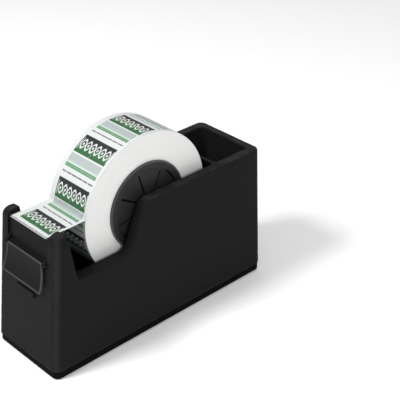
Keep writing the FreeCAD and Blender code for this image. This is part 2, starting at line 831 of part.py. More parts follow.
def tape_bridge():
    """The dark insert between the ears: an apron, a flat top for the tape, and two hinge lugs."""
    cap = new_body("bridge_cap")
    half = "(Size.bridge_half_width - Size.bridge_gap)"
    bottom = "(Size.apron_bottom + Size.bridge_gap)"
    recess = "(Size.bridge_wall + Size.apron_inset)"

    def side_view(sketch):
        polygon(sketch, [
            (f"({front_at(bottom)} + Size.apron_inset)", bottom),
            (f"({front_at(bottom)} + {recess})", bottom),
            (f"({front_at(SEAT_LEVEL)} + {recess})", SEAT_LEVEL),
            ("-Size.ear_back", SEAT_LEVEL),
            ("-Size.ear_back", "Size.bridge_top"),
            (APRON_TOP_FRONT, "Size.bridge_top"),
        ])

    extrude_across(cap, side_view, f"-{half}", half)
    seat_back = f"({BLADE_FRONT} + Size.blade_depth + Size.hole_gap)"
    blade_half = "(Size.blade_width / 2 + Size.hole_gap)"

    def blade_seat(sketch):
        box_outline(sketch, "-Size.case_length", seat_back, BLADE_UNDER, "(Size.bridge_top + 1)")

    cut_across(cap, blade_seat, f"-{blade_half}", blade_half)
    lugs = []
    pin_y, pin_z = "-Size.guard_pin_forward", "Size.guard_pin_level"
    foot_level = f"({bottom} + 3 * Size.lug_radius)"
    for label, start, end in (
        ("hinge_lug_left", f"-{half}", "-Size.lug_inner"),
        ("hinge_lug_right", "Size.lug_inner", half),
    ):
        lug = new_body(label)
        extrude_across(lug, lambda sketch: circle_outline(sketch, pin_y, pin_z, "Size.lug_radius"), start, end)

        def arm(sketch):
            polygon(sketch, [
                (f"({pin_y} - Size.lug_radius)", pin_z),
                (f"({pin_y} + Size.lug_radius)", pin_z),
                (f"({pin_y} + Size.lug_radius)", bottom),
                (f"({front_at(bottom)} + {recess} - Size.bridge_wall / 2)", bottom),
                (f"({front_at(foot_level)} + {recess} - Size.bridge_wall / 2)", foot_level),
                (f"({front_at(foot_level)} + Size.apron_inset)", foot_level),
            ])

        extrude_across(lug, arm, start, end)
        hole = "(Size.guard_pin_diameter / 2 + Size.guard_pin_slack)"
        cut_across(lug, lambda sketch: circle_outline(sketch, pin_y, pin_z, hole), start, end)
        lugs.append(lug)
    whole = combine("MultiFuse", "bridge_with_lugs", cap, *lugs)
    holes = combine("MultiFuse", "bridge_screw_holes", *countersinks("bridge_hole", "Size.hole_gap / 2"))
    return combine("Cut", "tape_bridge", whole, holes)


def cutter_blade():
    plate = new_body("blade_plate")
    half = "Size.blade_width / 2"
    back = f"({BLADE_FRONT} + Size.blade_depth)"
    extrude_up(plate, rectangle(half, BLADE_FRONT, back), BLADE_UNDER, "Size.bridge_top")
    before = plate.Shape.Volume
    notch = new_sketch(plate, "XY_Plane", BLADE_UNDER)
    polygon(notch, [
        (f"-{half} + Size.tooth_pitch / 2", f"({BLADE_FRONT} + Size.tooth_depth)"),
        (f"-{half}", BLADE_FRONT),
        (f"-{half}", f"({BLADE_FRONT} - 1)"),
        (f"-{half} + Size.tooth_pitch", f"({BLADE_FRONT} - 1)"),
        (f"-{half} + Size.tooth_pitch", BLADE_FRONT),
    ])
    cut = extrude(plate, notch, "Size.blade_thickness", cut=True, backwards=True)
    check_cut(plate, before)
    row = plate.newObject("PartDesign::LinearPattern", "tooth_row")
    row.Originals = [cut]
    row.Direction = (notch, ["H_Axis"])
    row.setExpression("Occurrences", "floor(Size.blade_width / Size.tooth_pitch)")
    row.setExpression("Length", "(floor(Size.blade_width / Size.tooth_pitch) - 1) * Size.tooth_pitch")
    plate.Tip = row
    document.recompute()
    check_cut(plate, before - 5 * (before - cut.Shape.Volume))
    holes = combine("MultiFuse", "blade_holes", *countersinks("blade_hole", "Size.hole_gap / 2"))
    return combine("Cut", "cutter_blade", plate, holes)


def blade_guard():
    """The hinged flap, a bowed plate that hangs from a barrel and kicks outwards at its lip."""
    body = new_body("blade_guard")
    pin_y, pin_z = "-Size.guard_pin_forward", "Size.guard_pin_level"
    wide = "Size.guard_half_bottom"
    outer = "Size.guard_bow"
    inner = "(Size.guard_bow + Size.guard_thickness)"
    centre = f"({pin_y} - Size.barrel_radius - Size.guard_bow)"
    strip = new_sketch(body, "YZ_Plane")
    bowed_strip(strip, centre, pin_z, outer, inner, "Size.guard_lip_level")
    extrude(body, strip, f"2 * {wide}", both_sides=True)
    trim_sides(body, wide, "Size.guard_lip_level", "Size.guard_half_top", f"({pin_z} + Size.barrel_radius)")
    lip_edges = [
        f"Edge{number}"
        for number, edge in enumerate(body.Shape.Edges, start=1)
        if abs(edge.BoundBox.ZMax - value("Size.guard_lip_level")) < 1e-3
        and edge.BoundBox.XLength < 0.2
        and edge.BoundBox.YLength > 1
    ]
    chamfer(body, lip_edges, "Size.guard_corner")
    top = "Size.guard_half_top"
    barrel = lambda sketch: circle_outline(sketch, pin_y, pin_z, "Size.barrel_radius")
    extrude_across(body, barrel, f"-{top}", top)
    hole = "(Size.guard_pin_diameter / 2 + Size.guard_pin_slack)"
    cut_across(body, lambda sketch: circle_outline(sketch, pin_y, pin_z, hole), f"-{wide}", wide)
    return body


def bowed_strip(sketch, across, up, outer, inner, lip):
    """A strip between two arcs of one centre, from the centre's level down to the lip's level."""
    centre = FreeCAD.Vector(value(across), value(up), 0)
    drop = value(up) - value(lip)
    for radius in (outer, inner):
        size_now = value(radius)
        circle = Part.Circle(centre, FreeCAD.Vector(0, 0, 1), size_now)
        sketch.addGeometry(Part.ArcOfCircle(circle, -math.asin(drop / size_now), 0), False)
    ends = [(sketch.getPoint(0, point), sketch.getPoint(1, point)) for point in (1, 2)]
    for near, far in ends:
        sketch.addGeometry(Part.LineSegment(near, far), False)
    for line, point, level in ((2, 1, lip), (3, 2, up)):
        sketch.addConstraint(Sketcher.Constraint("Coincident", line, 1, 0, point))
        sketch.addConstraint(Sketcher.Constraint("Coincident", line, 2, 1, point))
        sketch.addConstraint(Sketcher.Constraint("Horizontal", line))
        held = sketch.addConstraint(Sketcher.Constraint("DistanceY", -1, 1, line, 1, value(level)))
        sketch.setExpression(f"Constraints[{held}]", level)
    for arc, radius in ((0, outer), (1, inner)):
        held = sketch.addConstraint(Sketcher.Constraint("Radius", arc, value(radius)))
        sketch.setExpression(f"Constraints[{held}]", radius)
        pin(sketch, arc, 3, across, up)


def guard_pin():
    body = new_body("guard_pin")
    half = "Size.guard_pin_length / 2"
    rod = lambda sketch: circle_outline(
        sketch, "-Size.guard_pin_forward", "Size.guard_pin_level", "Size.guard_pin_diameter / 2"
    )
    extrude_across(body, rod, f"-{half}", half)
    return body


# ---------------------------------------------------------------- hub, spindle, core and roll

def turned(label, profile, phase="0"):
    """A body turned about the axle. The profile gives (x, radius) corners."""
    body = new_body(label)
    sketch = new_sketch(body, "XZ_Plane")
    polygon(sketch, profile)
    feature = body.newObject("PartDesign::Revolution", f"{label}_turned")
    feature.Profile = sketch
    feature.ReferenceAxis = (sketch, ["H_Axis"])
    feature.Angle = 360
    body.Tip = feature
    put_on_axle(body, phase)
    return body


def put_on_axle(body, phase="0"):
    body.Placement = FreeCAD.Placement(FreeCAD.Vector(), FreeCAD.Rotation(FreeCAD.Vector(1, 0, 0), 1))
    body.setExpression("Placement.Rotation.Angle", phase)
    body.setExpression("Placement.Base.y", "Size.axle_back")
    body.setExpression("Placement.Base.z", "Size.axle_level")
    document.recompute()


def ring(start, end, inner, outer):
    return [(start, inner), (end, inner), (end, outer), (start, outer)]


def around_axle(body, feature):
    """Repeats a cut round the axle, once for each side of the hub."""
    before = body.Shape.Volume
    pattern = body.newObject("PartDesign::PolarPattern", f"{body.Label}_round")
    pattern.Originals = [feature]
    axle = next(item for item in body.Origin.OriginFeatures if item.Role == "X_Axis")
    pattern.Axis = (axle, [""])
    pattern.Angle = 360
    pattern.setExpression("Occurrences", "Size.hub_sides")
    body.Tip = pattern
    document.recompute()
    check_cut(body, before)


def web_outline(reach):
    """Corners of the hub's many-sided face, the first one on the Y axis."""
    def draw(sketch):
        sides = int(value("Size.hub_sides"))
        polygon(sketch, [
            (f"{reach} * cos({step} * 360 deg / Size.hub_sides)", f"{reach} * sin({step} * 360 deg / Size.hub_sides)")
            for step in range(sides)
        ])
    return draw


def web_block(label, start, waist_at, end=None):
    """The hub's faceted face: full size to start, then narrowing to the waist."""
    body = new_body(label)
    levels = [(start, "Size.web_reach"), (waist_at, "Size.web_waist")]
    if end is not None:
        levels.insert(0, (end, "Size.web_reach"))
    sketches = []
    for level, reach in levels:
        sketch = new_sketch(body, "YZ_Plane", level)
        web_outline(reach)(sketch)
        sketches.append(sketch)
    feature = body.newObject("PartDesign::AdditiveLoft", f"{label}_loft")
    feature.Profile = sketches[0]
    feature.Sections = sketches[1:]
    feature.Ruled = True
    body.Tip = feature
    put_on_axle(body, "Size.hub_phase")
    return body


def hub_half_right():
    sleeve_outer = "(Size.core_bore_radius - Size.hub_fit)"
    sleeve_inner = f"({sleeve_outer} - Size.hub_wall)"
    parting = "(Size.hub_parting / 2)"
    rim = turned("hub_rim", [
        (parting, sleeve_inner),
        (FLANGE_OUTER, sleeve_inner),
        (FLANGE_OUTER, "Size.flange_radius"),
        (FLANGE_INNER, "Size.flange_radius"),
        (FLANGE_INNER, sleeve_outer),
        (parting, sleeve_outer),
    ], "Size.hub_phase")
    before = rim.Shape.Volume
    slit = new_sketch(rim, "XY_Plane")
    box_outline(slit, "0", "Size.finger_slot_length", "-Size.finger_slot_width / 2", "Size.finger_slot_width / 2")
    cut = extrude(rim, slit, "Size.core_bore_radius", cut=True, backwards=True)
    check_cut(rim, before)
    around_axle(rim, cut)
    web_inner = f"({FLANGE_OUTER} - Size.web_edge_depth - Size.web_thickness)"
    web_edge = f"({FLANGE_OUTER} - Size.web_edge_depth)"
    outer = web_block("hub_web_outer", web_edge, FLANGE_OUTER, web_inner)
    inner = web_block("hub_web_inner", web_inner, f"({FLANGE_OUTER} - Size.web_thickness)")
    web = combine("Cut", "hub_web", outer, inner)
    boss = turned("hub_boss", ring(f"{web_inner} - Size.boss_radius", FLANGE_OUTER, "0", "Size.boss_radius"))
    solid = combine("MultiFuse", "hub_solid", rim, web, boss)
    slots = []
    for step in range(int(value("Size.hub_sides"))):
        slot = new_body("hub_slot")
        sketch = new_sketch(slot, "YZ_Plane", f"{web_inner} - Size.web_thickness")
        width = "Size.web_slot_width / 2"
        box_outline(sketch, "Size.web_slot_start", "Size.web_slot_end", f"-{width}", width)
        extrude(slot, sketch, "4 * Size.web_thickness")
        put_on_axle(slot, f"Size.hub_phase + {step} * 360 / Size.hub_sides")
        slots.append(slot)
    bore_radius = f"({SPINDLE_RADIUS} + Size.spindle_slack)"
    bore = turned("hub_bore", ring("0", f"({FLANGE_OUTER} + 1)", "0", bore_radius))
    return combine("Cut", "hub_half_right", solid, combine("MultiFuse", "hub_cuts", bore, *slots))


def mirrored(label, source):
    copy = document.addObject("Part::Mirroring", label)
    copy.Source = source
    copy.Normal = FreeCAD.Vector(1, 0, 0)
    copy.Base = FreeCAD.Vector(0, 0, 0)
    copy.Label = label
    document.recompute()
    return copy


CLIP_START = f"({FLANGE_OUTER} + Size.clip_gap)"


def hub_spindle():
    groove = f"({CLIP_START} - Size.clip_gap / 4)", f"({CLIP_START} + Size.clip_thickness + Size.clip_gap / 4)"
    end = "Size.spindle_length / 2"
    half = [
        (groove[0], SPINDLE_RADIUS),
        (groove[0], "Size.clip_groove_radius"),
        (groove[1], "Size.clip_groove_radius"),
        (groove[1], SPINDLE_RADIUS),
        (f"({end} - Size.spindle_chamfer)", SPINDLE_RADIUS),
        (end, f"({SPINDLE_RADIUS} - Size.spindle_chamfer)"),
        (end, "0"),
    ]
    other = [(f"-{across}", up) for across, up in reversed(half)]
    return turned("hub_spindle", other + half)


def spindle_clips():
    """Two open snap rings that keep the hub in the middle of its spindle."""
    start, end = CLIP_START, f"({CLIP_START} + Size.clip_thickness)"
    clip = turned("clip_right", ring(start, end, "(Size.clip_groove_radius + Size.clip_bore_slack)", "Size.clip_radius"))
    before = clip.Shape.Volume
    mouth = new_sketch(clip, "YZ_Plane", f"{start} - 1")
    width = "Size.clip_mouth / 2"
    box_outline(mouth, "0", "2 * Size.clip_radius", f"-{width}", width)
    extrude(clip, mouth, "Size.clip_thickness + 2", cut=True, backwards=True)
    check_cut(clip, before)
    return gather("spindle_clips", [clip, mirrored("clip_left", clip)])


def tube(label, inner, outer):
    half = "Size.tape_width / 2"
    return turned(label, ring(f"-{half}", half, inner, outer))


def tape_lead():
    """The free end of the tape, from the blade's teeth back to where it leaves the roll."""
    body = new_body("tape_lead")
    under = "(Size.bridge_top + Size.lead_lift)"
    top = f"({under} + Size.lead_thickness)"
    reach = "(Size.roll_radius + Size.lead_gap)"
    rise = f"({top} - Size.axle_level)"
    meeting = f"(Size.axle_back - sqrt({reach} * {reach} - {rise} * {rise}))"
    extrude_up(body, rectangle("Size.tape_width / 2", f"({BLADE_FRONT} + Size.blade_reach / 2)", meeting), under, top)
    return body


hub_right = hub_half_right()
sub_parts = [
    casing(),
    base_plate(),
    *(foot(label, place) for label, place in FEET),
    ballast_block(),
    screws(
        "base_screws", BASE_SCREWS,
        "Size.base_screw_shank", "Size.base_screw_head", "Size.base_screw_length",
    ),
    screws(
        "ballast_screws", BALLAST_SCREWS,
        "Size.ballast_screw_shank", "Size.ballast_screw_head", "Size.ballast_screw_length",
    ),
    tape_bridge(),
    cutter_blade(),
    blade_screws(),
    blade_guard(),
    guard_pin(),
    hub_right,
    mirrored("hub_half_left", hub_right),
    hub_spindle(),
    spindle_clips(),
    tube("tape_core", "Size.core_bore_radius", "(Size.core_bore_radius + Size.core_wall)"),
    tube("tape_roll", ROLL_BORE, "Size.roll_radius"),
    tape_lead(),
]

os.makedirs("parts", exist_ok=True)
for item in document.Objects:
    if "Invalid" in item.State or "Error" in item.State:
        raise RuntimeError(f"{item.Label} failed: {item.State}")
for sub_part in sub_parts:
    shape = sub_part.Shape
    if shape.isNull() or not shape.isValid():
        raise RuntimeError(f"{sub_part.Label} is not a valid solid")
    print(sub_part.Label, len(shape.Solids), round(shape.Volume / 1000, 2), shape.BoundBox)
    shape.exportStep(f"parts/{sub_part.Label}.step")
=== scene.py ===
"""Looks for a weighted bench tape dispenser: moulded black plastic, a printed roll and its free end."""
import math

import bmesh
import bpy
import numpy as np
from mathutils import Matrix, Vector


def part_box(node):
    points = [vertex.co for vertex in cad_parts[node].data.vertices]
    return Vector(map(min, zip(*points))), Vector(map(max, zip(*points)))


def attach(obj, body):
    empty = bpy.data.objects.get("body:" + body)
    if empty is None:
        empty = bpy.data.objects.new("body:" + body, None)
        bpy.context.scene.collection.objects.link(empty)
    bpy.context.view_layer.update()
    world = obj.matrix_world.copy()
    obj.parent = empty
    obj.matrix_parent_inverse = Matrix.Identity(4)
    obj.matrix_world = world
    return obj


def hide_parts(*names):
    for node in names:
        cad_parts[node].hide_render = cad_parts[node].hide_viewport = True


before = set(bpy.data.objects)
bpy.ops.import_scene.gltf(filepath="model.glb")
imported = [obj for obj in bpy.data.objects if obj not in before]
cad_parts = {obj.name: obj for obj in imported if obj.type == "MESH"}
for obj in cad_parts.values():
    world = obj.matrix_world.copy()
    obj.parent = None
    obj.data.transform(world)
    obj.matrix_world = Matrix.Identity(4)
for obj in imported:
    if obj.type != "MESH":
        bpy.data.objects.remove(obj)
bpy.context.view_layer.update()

MM = 0.001
TURN = 2 * math.pi

# ---------------------------------------------------------------- places read from the frame

ROLL_LOW, ROLL_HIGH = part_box("tape_roll")
AXLE_Y = (ROLL_LOW.y + ROLL_HIGH.y) / 2
AXLE_Z = (ROLL_LOW.z + ROLL_HIGH.z) / 2
ROLL_RADIUS = (ROLL_HIGH.z - ROLL_LOW.z) / 2
HALF_TAPE = ROLL_HIGH.x
CORE_OUTSIDE = (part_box("tape_core")[1].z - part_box("tape_core")[0].z) / 2
LEAD_LOW, LEAD_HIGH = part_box("tape_lead")
BRIDGE_REAR, BRIDGE_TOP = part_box("tape_bridge")[1].yz
BASE_LOW, BASE_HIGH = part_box("base_plate")
BASE_INSET = 0.7 * MM                          # how far the base plate stands in from the skirt
HALF_WIDTH, HALF_LENGTH = BASE_HIGH.x + BASE_INSET, BASE_HIGH.y + BASE_INSET
CASING_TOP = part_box("casing")[1].z
SKIRT_LEVEL = 9 * MM
CORNER = 7 * MM                                # radius of the casing's upright corners
SIDE_DRAFT, FRONT_DRAFT, REAR_DRAFT = 0.025, 0.109, 0.020
GUARD_LOW, GUARD_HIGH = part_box("blade_guard")
GUARD_NARROWING = 2.7 * MM                     # how much less the flap's half width is at its top
GUARD_TAPER = -GUARD_NARROWING / (GUARD_HIGH.z - GUARD_LOW.z)

REPEATS = 10                                   # printed labels in one turn of the roll
LABEL = TURN * ROLL_RADIUS / REPEATS           # length of one printed label along the tape
LABEL_START = math.radians(30.5)               # angle above the front where one label's dark edge lies
LABEL_SLIP = 2.3 * MM                          # how far the free end's labels lie nearer to the roll
LAST_INK = 0.458                               # part of a label that lies in the white past its green band

LEAD_THICKNESS = 0.14 * MM
LEAD_CLEARANCE = 0.22 * MM                     # from the roll to the middle of the free end's thickness
LEAD_HOLD = math.radians(2.2)                  # angle over which the free end lies along the roll
LEAD_SAG = 0.35 * MM
TOOTH_PITCH, TOOTH_CUT = 2 * MM, 1 * MM        # the zigzag that the blade leaves


# ---------------------------------------------------------------- materials as sums of wires

class Wire:
    """A node's output that can be used in sums, products and comparisons."""

    def __init__(self, finish, socket):
        self.finish = finish
        self.socket = socket

    def calc(self, operation, *others):
        """One Math node on this value and up to two others."""
        inputs = dict(enumerate((self, *others)))
        return self.finish.node("ShaderNodeMath", {"operation": operation}, inputs)

    def __add__(self, other):
        return self.calc("ADD", other)

    __radd__ = __add__

    def __sub__(self, other):
        return self.calc("SUBTRACT", other)

    def __rsub__(self, other):
        return self.finish.node("ShaderNodeMath", {"operation": "SUBTRACT"}, {0: other, 1: self})

    def __mul__(self, other):
        return self.calc("MULTIPLY", other)

    __rmul__ = __mul__

    def __truediv__(self, other):
        return self.calc("DIVIDE", other)

    def fraction(self):
        """What is left over a whole number, for patterns that repeat."""
        return self.calc("FRACT")

    def size(self):
        return self.calc("ABSOLUTE")

    def most(self, other):
        return self.calc("MAXIMUM", other)

    def least(self, other):
        return self.calc("MINIMUM", other)

    def wave(self):
        return self.calc("SINE")

    def rise(self, low, high):
        """0 below low, 1 above high, and smooth between them."""
        inputs = {"Value": self, "From Min": low, "From Max": high}
        return self.finish.node("ShaderNodeMapRange", {"interpolation_type": "SMOOTHSTEP"}, inputs)

    def band(self, low, high, blur):
        """1 between low and high, with edges blur wide."""
        return self.rise(low - blur / 2, low + blur / 2) * (1 - self.rise(high - blur / 2, high + blur / 2))


class Finish:
    """One material, written down as nodes and ended by a Principled shader."""

    def __init__(self, name):
        self.material = bpy.data.materials.new(name)
        self.material.use_nodes = True
        self.tree = self.material.node_tree
        self.tree.nodes.clear()
        self.place = self.node("ShaderNodeTexCoord", {}, {}, "Object")

    def node(self, kind, settings=None, inputs=None, output=0):
        """Adds a node, sets it up, fills or links its inputs and gives one of its outputs, if any."""
        made = self.tree.nodes.new(kind)
        for key, setting in (settings or {}).items():
            setattr(made, key, setting)
        for key, given in (inputs or {}).items():
            if isinstance(given, Wire):
                self.tree.links.new(given.socket, made.inputs[key])
            else:
                made.inputs[key].default_value = given
        return Wire(self, made.outputs[output]) if made.outputs else None

    def axis(self, letter):
        """One coordinate of the object's own space, in metres."""
        return self.node("ShaderNodeSeparateXYZ", {}, {"Vector": self.place}, letter)

    def chart(self, letter):
        """One coordinate of the piece's own chart."""
        laid = self.node("ShaderNodeUVMap", {"uv_map": "chart"})
        return self.node("ShaderNodeSeparateXYZ", {}, {"Vector": laid}, letter)

    def point(self, x, y, z):
        return self.node("ShaderNodeCombineXYZ", {}, {"X": x, "Y": y, "Z": z})

    def stretched(self, x, y, z):
        """Object space with each axis multiplied, for marks that run one way."""
        inputs = {0: self.place, 1: (x, y, z)}
        return self.node("ShaderNodeVectorMath", {"operation": "MULTIPLY"}, inputs)

    def noise(self, scale, detail=2.0, roughness=0.5, where=None):
        inputs = {"Vector": where or self.place, "Scale": scale, "Detail": detail, "Roughness": roughness}
        return self.node("ShaderNodeTexNoise", {}, inputs)

    def mix(self, factor, first, second):
        """A colour between two colours. A Mix node keeps its colours in sockets 6 and 7."""
        inputs = {0: factor, 6: first, 7: second}
        return self.node("ShaderNodeMix", {"data_type": "RGBA"}, inputs, 2)

    def between(self, factor, first, second):
        """A value between two values. A Mix node keeps its values in sockets 2 and 3."""
        return self.node("ShaderNodeMix", {"data_type": "FLOAT"}, {0: factor, 2: first, 3: second})

    def from_axle(self):
        """Distance from the axle's line."""
        y, z = self.axis("Y") - AXLE_Y, self.axis("Z") - AXLE_Z
        return (y * y + z * z).calc("SQRT")

    def bump(self, height, depth, strength):
        return self.node("ShaderNodeBump", {}, {"Height": height, "Distance": depth, "Strength": strength})

    def end(self, **inputs):
        """Closes the material with a Principled shader, its sockets named with _ for each space."""
        named = {key.replace("_", " "): given for key, given in inputs.items()}
        shader = self.node("ShaderNodeBsdfPrincipled", {}, named)
        self.node("ShaderNodeOutputMaterial", {}, {"Surface": shader})
        return self.material


def shade(red, green, blue):
    """An opaque colour in linear light."""
    return (red, green, blue, 1.0)


def lighter(colour, times):
    """A colour with its light multiplied, or darkened where times is below 1."""
    return (*(min(1.0, part * times) for part in colour[:3]), 1.0)


def moulded(name, colour, rough, sheen_level, grain, wear_and_sheen):
    """Moulded plastic: a fine spark-eroded grain of about the given size in millimetres, soft clouding,
    hairline scratches and smeared places. The function passed last gives 0 to 1 where the colour is
    lightened: rubbed wear on some parts, painted highlights along edges on others."""
    f = Finish(name)
    fine = f.noise(1000 / grain, 3, 0.62)
    coarse = f.noise(380 / grain, 2, 0.5)
    cloud = f.noise(16, 3, 0.55)
    smear = f.noise(30, 4, 0.6, f.stretched(1, 0.35, 1.6)).rise(0.5, 0.78)
    hair = f.noise(240, 2, 0.5, f.stretched(1, 0.08, 1)).rise(0.7, 0.8) * cloud.rise(0.5, 0.62)
    rubbed_and_sheen = wear_and_sheen(f)
    tone = f.mix(cloud * 0.5 + fine * 0.25, colour, lighter(colour, 1.5))
    # lightened where the passed function says: rubbed wear on some parts, painted highlights on the case and
    # the flap; hairline scratches everywhere
    tone = f.mix((rubbed_and_sheen + hair * 0.35).least(1), tone, lighter(colour, 9.0))
    roughness = rough + (fine - 0.5) * 0.12 + (cloud - 0.5) * 0.14 - smear * 0.09 - rubbed_and_sheen * 0.12
    height = fine * 0.65 + coarse * 0.35 - hair * 0.5
    normal = f.bump(height, 0.00006, 0.32)
    return f.end(
        Base_Color=tone, Roughness=roughness, Specular_IOR_Level=sheen_level, IOR=1.36, Normal=normal,
    )


def case_painted_highlights(f):
    """Painted highlights: the colour is lightened in a band along the rim, down the rounding of the four
    upright corners and round the skirt, broken up by noise.
    """
    level, across, along = f.axis("Z"), f.axis("X").size(), f.axis("Y")
    broken = f.noise(90, 4, 0.65).rise(0.42, 0.66)
    # painted highlights: a band just below the rim's top and a band up to just above the skirt level
    rim = level.rise(CASING_TOP - 0.0027, CASING_TOP - 0.0012)
    skirt = 1 - level.rise(SKIRT_LEVEL + 0.0004, SKIRT_LEVEL + 0.0016)
    rise = level - SKIRT_LEVEL
    side = across - (HALF_WIDTH - CORNER) + rise * SIDE_DRAFT
    front = along * -1 - (HALF_LENGTH - CORNER) + rise * FRONT_DRAFT
    rear = along - (HALF_LENGTH - CORNER) + rise * REAR_DRAFT
    # painted highlight down the rounding of each upright corner
    corner = side.least(front.most(rear)).rise(0.0006, 0.0048)
    return (rim * 0.20 + skirt * 0.22) * (0.35 + broken * 0.65) + corner * (0.125 + broken * 0.03)


def lip_painted_highlights(f):
    """Painted highlights along all four edges of the flap, broken up by noise."""
    level, reach = f.axis("Z"), f.axis("X").size()
    half = GUARD_HIGH.x + (level - GUARD_LOW.z) * GUARD_TAPER
    sides = (reach - half).rise(-0.0016, -0.0004)
    lip = 1 - level.rise(GUARD_LOW.z + 0.0006, GUARD_LOW.z + 0.0018)
    top = level.rise(GUARD_HIGH.z - 0.0009, GUARD_HIGH.z - 0.0002)
    return sides.most(lip).most(top) * (0.55 + f.noise(120, 3, 0.6) * 0.45)


def apron_wear(f):
    """Rubbed in patches along the bridge's top edge, where fingers press the tape down."""
    return f.axis("Z").rise(BRIDGE_TOP - 0.0012, BRIDGE_TOP) * f.noise(150, 3, 0.6).rise(0.3, 0.7) * 0.7


def foot_band_wear(f):
    """Scuffed in patches along the base plate's lowest edge."""
    level = f.axis("Z")
    edge = 1 - level.rise(BASE_LOW.z + 0.0005, BASE_LOW.z + 0.0020)
    return edge * f.noise(110, 4, 0.6).rise(0.4, 0.65) * 0.8


def hub_wear(f):
    """Rubbed rings round the flange's rim, which fingers press, and round the boss beside the cradle."""
    reach = f.from_axle()
    rim = reach.band(0.0405, 0.0422, 0.0006)
    boss = reach.band(0.0075, 0.0100, 0.001)
    return (rim * 0.5 + boss * 0.4) * (0.5 + f.noise(140, 3, 0.6) * 0.5)


def ground_steel(name, colour, rough, along, scale):
    """Ground or plated steel with fine lines that run along one axis."""
    f = Finish(name)
    stretch = {"X": (0.03, 1, 1), "Y": (1, 0.03, 1), "Z": (1, 1, 0.03)}[along]
    lines = f.noise(scale, 3, 0.6, f.stretched(*stretch))
    cloud = f.noise(220, 3, 0.5)
    tone = f.mix(cloud * 0.6 + lines * 0.3, colour, lighter(colour, 0.72))
    roughness = rough + (lines - 0.5) * 0.22 + (cloud - 0.5) * 0.16
    return f.end(Base_Color=tone, Metallic=1.0, Roughness=roughness, Normal=f.bump(lines, 0.00002, 0.4))


def cast_iron(name):
    """Rough cast iron with a coarse skin and dull grey clouding."""
    f = Finish(name)
    grit = f.noise(520, 5, 0.65)
    cloud = f.noise(60, 3, 0.5)
    tone = f.mix(cloud, shade(0.09, 0.09, 0.095), shade(0.17, 0.16, 0.15))
    normal = f.bump(grit, 0.0004, 0.6)
    return f.end(Base_Color=tone, Metallic=0.75, Roughness=0.55 + (grit - 0.5) * 0.3, Normal=normal)


def foot_rubber(name):
    """Matt rubber with a fine skin and pale dust in patches."""
    f = Finish(name)
    fine = f.noise(1600, 2, 0.5)
    dust = f.noise(130, 4, 0.6).rise(0.5, 0.75)
    tone = f.mix(dust * 0.5, shade(0.013, 0.013, 0.013), shade(0.075, 0.072, 0.068))
    normal = f.bump(fine, 0.00005, 0.4)
    return f.end(Base_Color=tone, Roughness=0.82 + dust * 0.1, Specular_IOR_Level=0.3, Normal=normal)


def wound_card(name):
    """Brown card wound round the axle, with its plies as fine rings."""
    f = Finish(name)
    ply = 0.6 * MM
    plies = (f.from_axle() * (TURN / ply)).wave() * 0.5 + 0.5
    fibre = f.noise(700, 4, 0.65)
    tone = f.mix(plies * 0.45 + fibre * 0.5, shade(0.33, 0.23, 0.13), shade(0.52, 0.40, 0.26))
    normal = f.bump(plies * 0.4 + fibre, 0.0001, 0.5)
    return f.end(Base_Color=tone, Roughness=0.86 + (fibre - 0.5) * 0.1, Normal=normal)


# ---------------------------------------------------------------- printed film

PAPER_WHITE = shade(0.53, 0.545, 0.54)
SIDE_WHITE = shade(0.765, 0.755, 0.75)
INK_BLACK = shade(0.009, 0.009, 0.012)
INK_GREEN = shade(0.016, 0.092, 0.025)
STRIPE_GREEN = shade(0.040, 0.165, 0.058)
PALE_GREY = shade(0.315, 0.355, 0.35)
PALE_GREEN = shade(0.34, 0.47, 0.40)
PRINT_BLUR = 0.009                             # softness of a printed edge, as part of a label


def label_ink(f, across, along):
    """One printed label after another. across runs 0 to 1 over the tape's width and along counts labels.
    Each label is a dark band over a green band with a white braid, then a pale panel, a green stripe and a
    row of dashes, between white margins. Its inks are laid one over the other."""
    part = along.fraction()

    def bar(low, high):
        return part.band(low, high, PRINT_BLUR)

    streaks = (across * 61 + part * 3).fraction().rise(0.52, 0.6) * f.noise(900, 1).rise(0.4, 0.5)
    short, group = (across * 23).fraction(), (across * 7 + 0.35).fraction()
    dashes = short.band(0.12, 0.86, 0.1) * group.band(0.08, 0.95, 0.04)
    seam = across.band(0.527, 0.533, 0.004) * (1 - part.band(0.0, 0.19, 0.01))
    layers = [
        (bar(0.475, 0.650), PALE_GREY),
        (bar(0.640, 0.668), PALE_GREEN),
        (bar(0.690, 0.768), STRIPE_GREEN),
        (bar(0.705, 0.752) * (0.22 + streaks * 0.25), PALE_GREEN),
        (bar(0.858, 0.890) * (0.25 + dashes * 0.7), INK_BLACK),
        (bar(0.010, 0.205), INK_BLACK),
        (bar(0.195, 0.440), INK_GREEN),
        (braid_motif(across, part), PAPER_WHITE),
        (seam * 0.45, PAPER_WHITE),
    ]
    colour = PAPER_WHITE
    for cover, ink in layers:
        colour = f.mix(cover, colour, ink)
    return f.mix(across.band(0.125, 0.945, 0.006), PAPER_WHITE, colour)


def braid_motif(across, part):
    """Two equal ribbons wave against each other and cross in a row of six even loops. Each loop holds a
    small lozenge, and a slim bar closes the row at each end."""
    up = (part - 0.222) / 0.165
    loops = (across - 0.167) * 8
    ribbon = (loops * (TURN / 2)).wave() * 0.62
    rising = (up - ribbon).size().band(-1.0, 0.15, 0.07)
    falling = (up + ribbon).size().band(-1.0, 0.15, 0.07)
    lozenge = ((loops.fraction() - 0.5).size() + up.size() * 0.9).band(-1.0, 0.20, 0.05)
    bars = (across - 0.542).size().band(0.383, 0.395, 0.006) * up.size().band(-1.0, 0.86, 0.06)
    row = across.band(0.167, 0.917, 0.004)
    return (rising.most(falling).most(lozenge) * row).most(bars)


